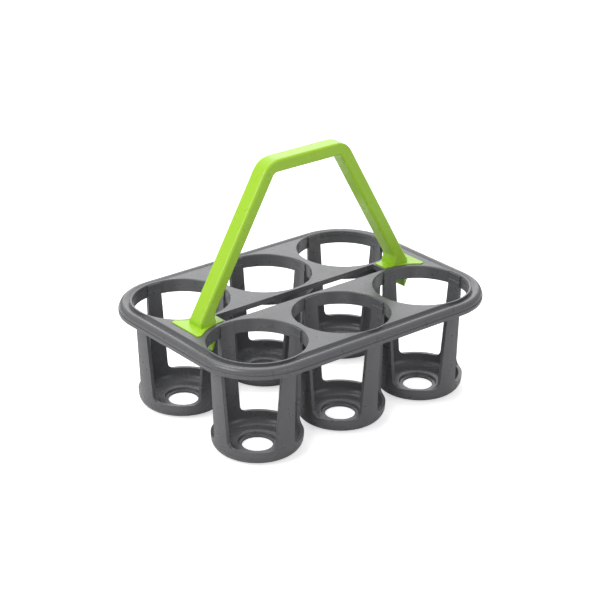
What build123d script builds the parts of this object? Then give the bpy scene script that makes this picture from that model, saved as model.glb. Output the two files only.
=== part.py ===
from build123d import *
from math import atan, cos
import os

# A carrier for six bottles: one dark moulding with two rows of three open-sided
# pockets, and one green handle whose two feet snap into the ends of its deck.
# Millimetres. X runs along the carrier, Y across it, Z up.
# The origin is at the middle of the footprint, on the surface that the pockets stand on.

# Layout of the pockets
pitch_x = 106.0
pitch_y = 124.0
columns = (-pitch_x, 0.0, pitch_x)
rows = (-pitch_y / 2, pitch_y / 2)
deck_top = 114.0
deck_thickness = 2.6

# Mouth of a pocket: a plain collar that hangs below the deck
mouth_radius = 49.0
mouth_edge_rounding = 1.2
collar_radius = 51.3
collar_depth = 14.0
collar_bottom = deck_top - collar_depth

# Wall of a pocket: it tapers to the base and is cut into four posts
wall_top_radius = 50.6
wall_base_radius = 45.6
post_thickness = 3.4
base_rounding = 12.0
pad_top = deck_top - 1.0
pad_ledge = deck_top - 8.0
pad_step = 0.7
post_half_width_top = 8.2
post_half_width_sill = 10.6
sill_height = 16.0
sill_corner_radius = 7.0

# Floor of a pocket
floor_thickness = 3.0
floor_corner_radius = 8.0
drain_radius = 15.25
drain_lip_thickness = 2.2
drain_recess_radius = 18.4
boss_radius = 25.4
boss_height = 1.5

# Rim round the deck: a groove, a rounded bead and a hanging flange.
# Each "out" is a distance outward from the rectangle through the end pockets' centres.
deck_edge_out = 49.8
groove_out = 51.3
groove_depth = 3.0
bead_out = 62.6
bead_rise = 0.42
bead_radius = 5.0
flange_out = 63.4
flange_ledge_depth = 7.6
flange_depth = 11.6
rim_wall = 2.2

# Slot between the two rows
slot_half_width = 9.0
slot_half_length = 103.0
slot_skirt_depth = 5.6
slot_skirt_wall = 2.0

# Handle: an arch in the plane Y = 0, with heights above the deck
grip_top = 153.1
arch_thickness = 13.2
arch_width = 19.4
arch_edge_radius = 3.0
leg_rise_per_run = 1.734
leg_x_at_80 = 91.5
arch_outer_radius = 22.0
arch_inner_radius = 6.5
leg_knee_radius = 7.0
foot_block_inner = 115.6
foot_block_bottom = 0.3
foot_block_top = 5.6
foot_block_half_width = 9.9
foot_block_corner = 1.2

# Foot plate of the handle, let into a shallow recess in the deck
plate_proud = 1.0
plate_recess = 1.0
plate_outer = 147.0
plate_inner = 105.0
plate_half_width = 22.0
plate_waist_radius = 53.7
plate_corner = 2.0
plate_gap = 0.35

# Snap fit: two hooked prongs under each foot, in a socket that hangs below the deck
prong_half_width = 7.4
prong_length = 28.0
prong_tip = 1.2
prong_thickness = 3.5
prong_hook = 3.2
prong_inner_face = 132.7
snap_centre = 126.2
socket_depth = 14.0
socket_wall = 2.2
socket_gap = 0.3
hook_gap = 0.25


def outline(points, radii):
    """A flat face with straight sides and rounded corners, as (point, radius) pairs."""
    return make_face(FilletPolyline(*points, radius=list(radii), close=True))


def turned(points, radii):
    """The solid turned about the Z axis from a section given as (radius, height)."""
    return revolve(Plane.XZ * outline(points, radii), Axis.Z)


def wall_radius(height):
    """Outer radius of a pocket's tapered wall at a height above the base."""
    share = (height - base_rounding) / (collar_bottom - base_rounding)
    return wall_base_radius + share * (wall_top_radius - wall_base_radius)


def pocket_shell():
    """Turned wall, base and floor of one pocket, before its windows are cut."""
    inner_top = wall_radius(collar_bottom) - post_thickness
    inner_base = wall_radius(0.0) - post_thickness
    section = [
        (drain_radius, 0.0),
        (wall_radius(0.0), 0.0),
        (wall_top_radius, collar_bottom),
        (wall_top_radius, pad_top),
        (inner_top + pad_step, pad_top),
        (inner_top + pad_step, pad_ledge),
        (inner_top, pad_ledge - pad_step),
        (inner_top, collar_bottom),
        (inner_base, floor_thickness),
        (boss_radius + 1.0, floor_thickness),
        (boss_radius, floor_thickness + boss_height),
        (drain_recess_radius + 1.2, floor_thickness + boss_height),
        (drain_recess_radius, drain_lip_thickness),
        (drain_radius, drain_lip_thickness),
    ]
    radii = [0.8, base_rounding, 0, 0, 0.6, 0, 0, 0, floor_corner_radius, 0.4, 0.6, 0.9, 0.4, 0.8]
    return turned(section, radii)


def window_cutters():
    """Four blocks that leave the posts on the X and Y axes, with rounded sills."""
    reach = collar_radius + 8.0
    top = pad_top + 2.0
    slope = (post_half_width_sill - post_half_width_top) / (collar_bottom - sill_height)
    at_top = post_half_width_top - slope * (top - collar_bottom)
    side = outline(
        [(post_half_width_sill, sill_height), (reach, sill_height), (reach, top), (at_top, top)],
        [sill_corner_radius, 0, 0, 0],
    )
    along_y = extrude(Plane.XZ * side, amount=-reach)
    along_x = Rot(0, 0, 90) * extrude(Plane.XZ * side, amount=reach)
    quadrant = along_y & along_x
    return [Rot(0, 0, 90 * turn) * quadrant for turn in range(4)]


def pocket():
    """One pocket: collar, four posts and base, centred on the Z axis."""
    body = pocket_shell()
    for cutter in window_cutters():
        body -= cutter
    collar = turned(
        [
            (mouth_radius, collar_bottom),
            (collar_radius, collar_bottom),
            (collar_radius, deck_top),
            (mouth_radius, deck_top),
        ],
        [0.4, 0.5, 0, mouth_edge_rounding],
    )
    return body + collar


def mouth_cutter():
    """The opening of one pocket through the deck, clear of the collar's rounded edge."""
    middle = (mouth_radius + collar_radius) / 2
    return Pos(0, 0, deck_top - deck_thickness / 2) * Cylinder(middle, 2 * deck_thickness)


def rounded_rectangle(out):
    """Outline at a distance outward from the rectangle through the end pockets' centres."""
    return RectangleRounded(2 * (pitch_x + out), pitch_y + 2 * out, out)


def deck_plate():
    """Flat deck inside the groove."""
    return extrude(Pos(0, 0, deck_top) * rounded_rectangle(deck_edge_out - 3.0), amount=-deck_thickness)


def rim():
    """Groove, bead and flange, swept once round the deck."""
    start = deck_edge_out - 5.0
    section = [
        (start, 0.0),
        (deck_edge_out, 0.0),
        (groove_out, -groove_depth),
        (bead_out, bead_rise),
        (bead_out, -flange_ledge_depth),
        (flange_out, -flange_ledge_depth),
        (flange_out, -flange_depth),
        (flange_out - rim_wall, -flange_depth),
        (flange_out - rim_wall, -flange_ledge_depth - 0.6),
        (bead_out - rim_wall, -flange_ledge_depth),
        (bead_out - rim_wall, bead_rise - 2.9),
        (groove_out + 0.4, -groove_depth - rim_wall),
        (deck_edge_out - 1.2, -groove_depth - rim_wall),
        (deck_edge_out - 2.2, -deck_thickness),
        (start, -deck_thickness),
    ]
    radii = [0, 0.8, 0.6, bead_radius, 0, 0.3, 0.6, 0.5, 0, 0, bead_radius - rim_wall, 1.0, 0, 0.8, 0]
    path = rounded_rectangle(groove_out).wire()
    start_plane = Plane(path @ 0, z_dir=path % 0)
    outward = Vector(0, 0, 1).cross(path % 0)
    if outward.dot(path @ 0) < 0:
        outward = outward * -1
    start_plane = Plane(origin=path @ 0, x_dir=outward, z_dir=path % 0)
    if start_plane.y_dir.Z < 0:
        start_plane = Plane(origin=path @ 0, x_dir=outward, z_dir=(path % 0) * -1)
    flat = outline([(out - groove_out, height) for out, height in section], radii)
    return Pos(0, 0, deck_top) * sweep(start_plane * flat, path=path)


def slot_skirt():
    """Short wall that hangs round the slot."""
    height = slot_skirt_depth
    outer = Rectangle(2 * (slot_half_length + slot_skirt_wall), 2 * (slot_half_width + slot_skirt_wall))
    return extrude(Pos(0, 0, deck_top) * fillet(outer.vertices(), 2.0), amount=-height)


def slot_cutter():
    """The slot between the rows."""
    mouth = fillet(Rectangle(2 * slot_half_length, 2 * slot_half_width).vertices(), 1.0)
    return extrude(Pos(0, 0, deck_top + 1.0) * mouth, amount=-slot_skirt_depth - 2.0)


def plate_outline():
    """Foot plate at the +X end, seen from above; its sides follow the two end pockets."""
    middle = (plate_outer + plate_inner) / 2
    blank = Pos(middle, 0) * Rectangle(plate_outer - plate_inner, 2 * plate_half_width)
    for y in rows:
        blank -= Pos(pitch_x, y) * Circle(plate_waist_radius)
    return fillet(blank.vertices(), plate_corner)


def socket_wall_block():
    """Outside of the socket below the deck, at the +X end."""
    half_length = prong_inner_face + prong_thickness + socket_gap - snap_centre + socket_wall
    half_width = prong_half_width + socket_gap + socket_wall
    flat = fillet(Rectangle(2 * half_length, 2 * half_width).vertices(), 1.5)
    return extrude(Pos(snap_centre, 0, deck_top - plate_recess) * flat, amount=plate_recess - socket_depth)


def socket_cutter():
    """Inside of the socket, through the deck."""
    half_length = prong_inner_face + prong_thickness + socket_gap - snap_centre
    half_width = prong_half_width + socket_gap
    flat = Rectangle(2 * half_length, 2 * half_width)
    return extrude(Pos(snap_centre, 0, deck_top + 1.0) * flat, amount=-socket_depth - 3.0)


def carrier():
    """The dark moulding."""
    body = deck_plate() + rim() + slot_skirt()
    ends = (Rot(0, 0, 0), Rot(0, 0, 180))
    for end in ends:
        body += end * socket_wall_block()
    centres = [(x, y) for y in rows for x in columns]
    for x, y in centres:
        body -= Pos(x, y, 0) * mouth_cutter()
    single = pocket()
    for x, y in centres:
        body += Pos(x, y, 0) * single
    body -= slot_cutter()
    recess = extrude(Pos(0, 0, deck_top - plate_recess) * offset(plate_outline(), plate_gap), amount=5.0)
    for end in ends:
        body -= end * recess
        body -= end * socket_cutter()
    return body


def leg_x(height, inset=0.0):
    """X of a leg's outer face at a height above the deck, or of a face set in from it."""
    slant = atan(1 / leg_rise_per_run)
    return leg_x_at_80 - (height - 80.0) / leg_rise_per_run - inset / cos(slant)


def arch():
    """Grip and two legs: one outline in the plane Y = 0, with rounded long edges."""
    bottom = foot_block_bottom
    foot_x = leg_x(foot_block_top)
    grip_bottom = grip_top - arch_thickness
    knee_height = (leg_x(0.0, arch_thickness) - foot_block_inner) * leg_rise_per_run
    outside = [(foot_x, bottom), (foot_x, foot_block_top), (leg_x(grip_top), grip_top)]
    inside = [
        (leg_x(grip_bottom, arch_thickness), grip_bottom),
        (foot_block_inner, knee_height),
        (foot_block_inner, bottom),
    ]
    outside_radii = [0, leg_knee_radius, arch_outer_radius]
    inside_radii = [arch_inner_radius, leg_knee_radius, 0]
    mirrored_outside = [(-x, height) for x, height in reversed(outside)]
    mirrored_inside = [(-x, height) for x, height in reversed(inside)]
    points = outside + mirrored_outside + mirrored_inside + inside
    radii = outside_radii + outside_radii[::-1] + inside_radii[::-1] + inside_radii
    blank = extrude(Plane.XZ * outline(points, radii), amount=arch_width / 2, both=True)
    long_edges = blank.edges().filter_by_position(Axis.Y, arch_width / 2, arch_width / 2)
    long_edges += blank.edges().filter_by_position(Axis.Y, -arch_width / 2, -arch_width / 2)
    return fillet(long_edges, arch_edge_radius)


def foot_block():
    """Square-edged block at the bottom of the +X leg, standing on the foot plate."""
    outer = leg_x(foot_block_top)
    middle = (outer + foot_block_inner) / 2
    flat = fillet(Rectangle(outer - foot_block_inner, 2 * foot_block_half_width).vertices(), foot_block_corner)
    block = extrude(Pos(middle, 0, foot_block_bottom) * flat, amount=foot_block_top - foot_block_bottom)
    return fillet(block.edges().group_by(Axis.Z)[-1], 0.4)


def foot_plate():
    """Plate under the +X leg, from the floor of its recess to just above the deck."""
    plate = extrude(Pos(0, 0, -plate_recess) * plate_outline(), amount=plate_recess + plate_proud)
    return fillet(plate.edges().group_by(Axis.Z)[-1], 0.5)


def prongs():
    """Two hooked prongs under the +X foot, back to back."""
    outer_face = prong_inner_face + prong_thickness
    hook_top = -socket_depth - hook_gap
    profile = outline(
        [
            (prong_inner_face, 0.0),
            (outer_face, 0.0),
            (outer_face, hook_top),
            (outer_face + prong_hook, hook_top),
            (prong_inner_face + prong_tip, -prong_length),
            (prong_inner_face, -prong_length),
        ],
        [0, 0, 0, 0.6, 0.4, 0.4],
    )
    outer = extrude(Plane.XZ * profile, amount=prong_half_width, both=True)
    inner = mirror(outer, Plane(origin=(snap_centre, 0, 0), z_dir=(1, 0, 0)))
    return [outer, inner]


def handle():
    """The green handle: arch, foot blocks, foot plates and hooked prongs."""
    body = arch()
    foot = foot_block() + foot_plate() + prongs()
    body += [foot, Rot(0, 0, 180) * foot]
    return Pos(0, 0, deck_top) * body


if __name__ == "__main__":
    os.makedirs("parts", exist_ok=True)
    export_step(carrier(), "parts/carrier.step")
    export_step(handle(), "parts/carry_handle.step")
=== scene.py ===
"""Looks of a six-pocket bottle carrier: a dark satin plastic tray with a bright green carrying handle."""
import math

import bpy
from mathutils import Matrix, Vector

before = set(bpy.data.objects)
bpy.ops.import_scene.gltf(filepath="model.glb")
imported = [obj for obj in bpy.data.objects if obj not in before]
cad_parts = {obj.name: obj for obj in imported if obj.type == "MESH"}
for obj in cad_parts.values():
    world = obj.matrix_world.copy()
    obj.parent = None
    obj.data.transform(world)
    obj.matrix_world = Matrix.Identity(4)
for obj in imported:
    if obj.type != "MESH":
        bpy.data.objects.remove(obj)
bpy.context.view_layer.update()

# Camera, fitted to the photograph, in metres and degrees
camera_distance = 1.9116
camera_azimuth = 230.79
camera_elevation = 24.0
camera_roll = 0.366
aim_height = 0.114
focal_pixels = 1885.9
picture_pixels = 600.0
centre_pixel = (302.12, 291.61)
sensor_width = 36.0

# Colours, linear
dark_grey = (0.105, 0.107, 0.113, 1.0)
leaf_green = (0.35, 0.61, 0.03, 1.0)
floor_white = (0.8, 0.8, 0.8, 1.0)
white = (1.0, 1.0, 1.0, 1.0)

# The part of a noise value's range that is spread over a material's own range
noise_low = 0.3
noise_high = 0.7

# Surface of the moulded plastic: noise scales per metre, and bump distances in metres
cloud_scale = 14.0
cloud_detail = 3.0
ripple_scale = 90.0
grain_scale = 2600.0
plastic_roughness = 0.3
roughness_spread = 0.04
plastic_ior = 1.5
grey_spread = 0.03
green_spread = 0.02
grain_strength = 0.12
grain_depth = 0.00002
ripple_strength = 0.04
ripple_depth = 0.0002

# Floor and background
floor_half_size = 12.0
floor_cloud_scale = 3.0
floor_spread = 0.01
floor_glow = 0.62
world_light = 0.45
world_seen = 1.0

# Softboxes: name, place, width and height in metres, power in watts
lights_aim = (0.0, 0.0, 0.12)
softboxes = (
    ("key", (-1.5, 0.1, 1.3), 1.2, 1.0, 20.0),
    ("top", (0.1, 0.7, 1.9), 1.6, 1.0, 20.0),
    ("fill", (0.5, -2.0, 0.8), 1.2, 1.0, 6.0),
    ("sheen", (1.2, 1.45, 0.95), 1.7, 1.2, 11.0),
)


def make_camera():
    """The camera at the photograph's angle, aimed at a point on the Z axis."""
    azimuth = math.radians(camera_azimuth)
    elevation = math.radians(camera_elevation)
    roll = math.radians(camera_roll)
    back = Vector((
        math.cos(elevation) * math.cos(azimuth),
        math.cos(elevation) * math.sin(azimuth),
        math.sin(elevation),
    ))
    right = (-back).cross(Vector((0.0, 0.0, 1.0))).normalized()
    up = right.cross(-back)
    turned_right = math.cos(roll) * right + math.sin(roll) * up
    turned_up = -math.sin(roll) * right + math.cos(roll) * up
    data = bpy.data.cameras.new("camera")
    data.sensor_width = sensor_width
    data.lens = focal_pixels / picture_pixels * sensor_width
    half = picture_pixels / 2
    data.shift_x = (half - centre_pixel[0]) / picture_pixels
    data.shift_y = (centre_pixel[1] - half) / picture_pixels
    camera = bpy.data.objects.new("camera", data)
    bpy.context.scene.collection.objects.link(camera)
    turn = Matrix((turned_right, turned_up, back)).transposed().to_4x4()
    place = Vector((0.0, 0.0, aim_height)) + back * camera_distance
    camera.matrix_world = Matrix.Translation(place) @ turn
    bpy.context.scene.camera = camera


class Nodes:
    """Short calls for adding and joining the nodes of one material."""

    def __init__(self, name):
        self.material = bpy.data.materials.new(name)
        self.material.use_nodes = True
        self.tree = self.material.node_tree
        self.tree.nodes.clear()

    def add(self, kind, **settings):
        node = self.tree.nodes.new(kind)
        for key, value in settings.items():
            setattr(node, key, value)
        return node

    def join(self, source, target):
        self.tree.links.new(source, target)

    def noise(self, place, scale, detail=2.0):
        node = self.add("ShaderNodeTexNoise")
        node.inputs["Scale"].default_value = scale
        node.inputs["Detail"].default_value = detail
        self.join(place, node.inputs["Vector"])
        return node.outputs["Fac"]

    def spread(self, value, low, high):
        """A noise value laid on low..high."""
        node = self.add("ShaderNodeMapRange")
        node.inputs["From Min"].default_value = noise_low
        node.inputs["From Max"].default_value = noise_high
        node.inputs["To Min"].default_value = low
        node.inputs["To Max"].default_value = high
        self.join(value, node.inputs["Value"])
        return node.outputs["Result"]

    def tint(self, share, first, second):
        node = self.add("ShaderNodeMix", data_type="RGBA")
        node.inputs["A"].default_value = first
        node.inputs["B"].default_value = second
        self.join(share, node.inputs["Factor"])
        return node.outputs["Result"]


def scaled(colour, factor):
    """A colour made lighter or darker."""
    return tuple(channel * factor for channel in colour[:3]) + (1.0,)


def plastic(name, colour, shade_spread):
    """Moulded plastic: faint flow clouds in its colour and gloss, and the fine texture of a blasted mould."""
    nodes = Nodes(name)
    place = nodes.add("ShaderNodeTexCoord").outputs["Object"]
    shader = nodes.add("ShaderNodeBsdfPrincipled")
    output = nodes.add("ShaderNodeOutputMaterial")
    nodes.join(shader.outputs["BSDF"], output.inputs["Surface"])
    clouds = nodes.noise(place, cloud_scale, cloud_detail)
    grain = nodes.noise(place, grain_scale)
    ripple = nodes.noise(place, ripple_scale)
    colour_out = nodes.tint(
        nodes.spread(clouds, 0.0, 1.0), scaled(colour, 1 - shade_spread), scaled(colour, 1 + shade_spread))
    nodes.join(colour_out, shader.inputs["Base Color"])
    low_roughness = plastic_roughness - roughness_spread
    high_roughness = plastic_roughness + roughness_spread
    nodes.join(nodes.spread(ripple, low_roughness, high_roughness), shader.inputs["Roughness"])
    shader.inputs["IOR"].default_value = plastic_ior
    fine = nodes.add("ShaderNodeBump")
    fine.inputs["Strength"].default_value = grain_strength
    fine.inputs["Distance"].default_value = grain_depth
    nodes.join(grain, fine.inputs["Height"])
    broad = nodes.add("ShaderNodeBump")
    broad.inputs["Strength"].default_value = ripple_strength
    broad.inputs["Distance"].default_value = ripple_depth
    nodes.join(ripple, broad.inputs["Height"])
    nodes.join(fine.outputs["Normal"], broad.inputs["Normal"])
    nodes.join(broad.outputs["Normal"], shader.inputs["Normal"])
    return nodes.material


def dress(node, material):
    """Gives a solid of the frame its material."""
    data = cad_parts[node].data
    data.materials.clear()
    data.materials.append(material)


def make_floor():
    """A pale floor that shows white to the camera and keeps the object's shadow."""
    size = floor_half_size
    data = bpy.data.meshes.new("floor")
    corners = [(-size, -size, 0.0), (size, -size, 0.0), (size, size, 0.0), (-size, size, 0.0)]
    data.from_pydata(corners, [], [(0, 1, 2, 3)])
    floor = bpy.data.objects.new("floor", data)
    bpy.context.scene.collection.objects.link(floor)
    nodes = Nodes("floor")
    place = nodes.add("ShaderNodeTexCoord").outputs["Object"]
    lit = nodes.add("ShaderNodeBsdfDiffuse")
    clouds = nodes.spread(nodes.noise(place, floor_cloud_scale), 0.0, 1.0)
    low_white = scaled(floor_white, 1 - floor_spread)
    high_white = scaled(floor_white, 1 + floor_spread)
    nodes.join(nodes.tint(clouds, low_white, high_white), lit.inputs["Color"])
    glow = nodes.add("ShaderNodeEmission")
    glow.inputs["Color"].default_value = white
    seen = nodes.add("ShaderNodeLightPath")
    share = nodes.add("ShaderNodeMath", operation="MULTIPLY")
    share.inputs[1].default_value = floor_glow
    nodes.join(seen.outputs["Is Camera Ray"], share.inputs[0])
    nodes.join(share.outputs[0], glow.inputs["Strength"])
    both = nodes.add("ShaderNodeAddShader")
    nodes.join(lit.outputs["BSDF"], both.inputs[0])
    nodes.join(glow.outputs["Emission"], both.inputs[1])
    output = nodes.add("ShaderNodeOutputMaterial")
    nodes.join(both.outputs["Shader"], output.inputs["Surface"])
    floor.data.materials.append(nodes.material)


def softbox(name, place, width, height, power):
    """One soft rectangular light, turned to the object."""
    data = bpy.data.lights.new(name, "AREA")
    data.shape = "RECTANGLE"
    data.size = width
    data.size_y = height
    data.energy = power
    lamp = bpy.data.objects.new(name, data)
    bpy.context.scene.collection.objects.link(lamp)
    lamp.location = place
    lamp.rotation_euler = (Vector(lights_aim) - Vector(place)).to_track_quat("-Z", "Y").to_euler()


def make_lights():
    """The softboxes, and a world that is even light on the object and white to the camera."""
    for box in softboxes:
        softbox(*box)
    world = bpy.data.worlds.new("studio")
    world.use_nodes = True
    bpy.context.scene.world = world
    tree = world.node_tree
    tree.nodes.clear()
    seen = tree.nodes.new("ShaderNodeLightPath")
    strength = tree.nodes.new("ShaderNodeMapRange")
    strength.inputs["To Min"].default_value = world_light
    strength.inputs["To Max"].default_value = world_seen
    background = tree.nodes.new("ShaderNodeBackground")
    background.inputs["Color"].default_value = white
    output = tree.nodes.new("ShaderNodeOutputWorld")
    tree.links.new(seen.outputs["Is Camera Ray"], strength.inputs["Value"])
    tree.links.new(strength.outputs["Result"], background.inputs["Strength"])
    tree.links.new(background.outputs["Background"], output.inputs["Surface"])


make_camera()
dress("carrier", plastic("dark_moulded_plastic", dark_grey, grey_spread))
dress("carry_handle", plastic("green_moulded_plastic", leaf_green, green_spread))
make_floor()
make_lights()
bpy.context.scene.view_settings.view_transform = "Standard"
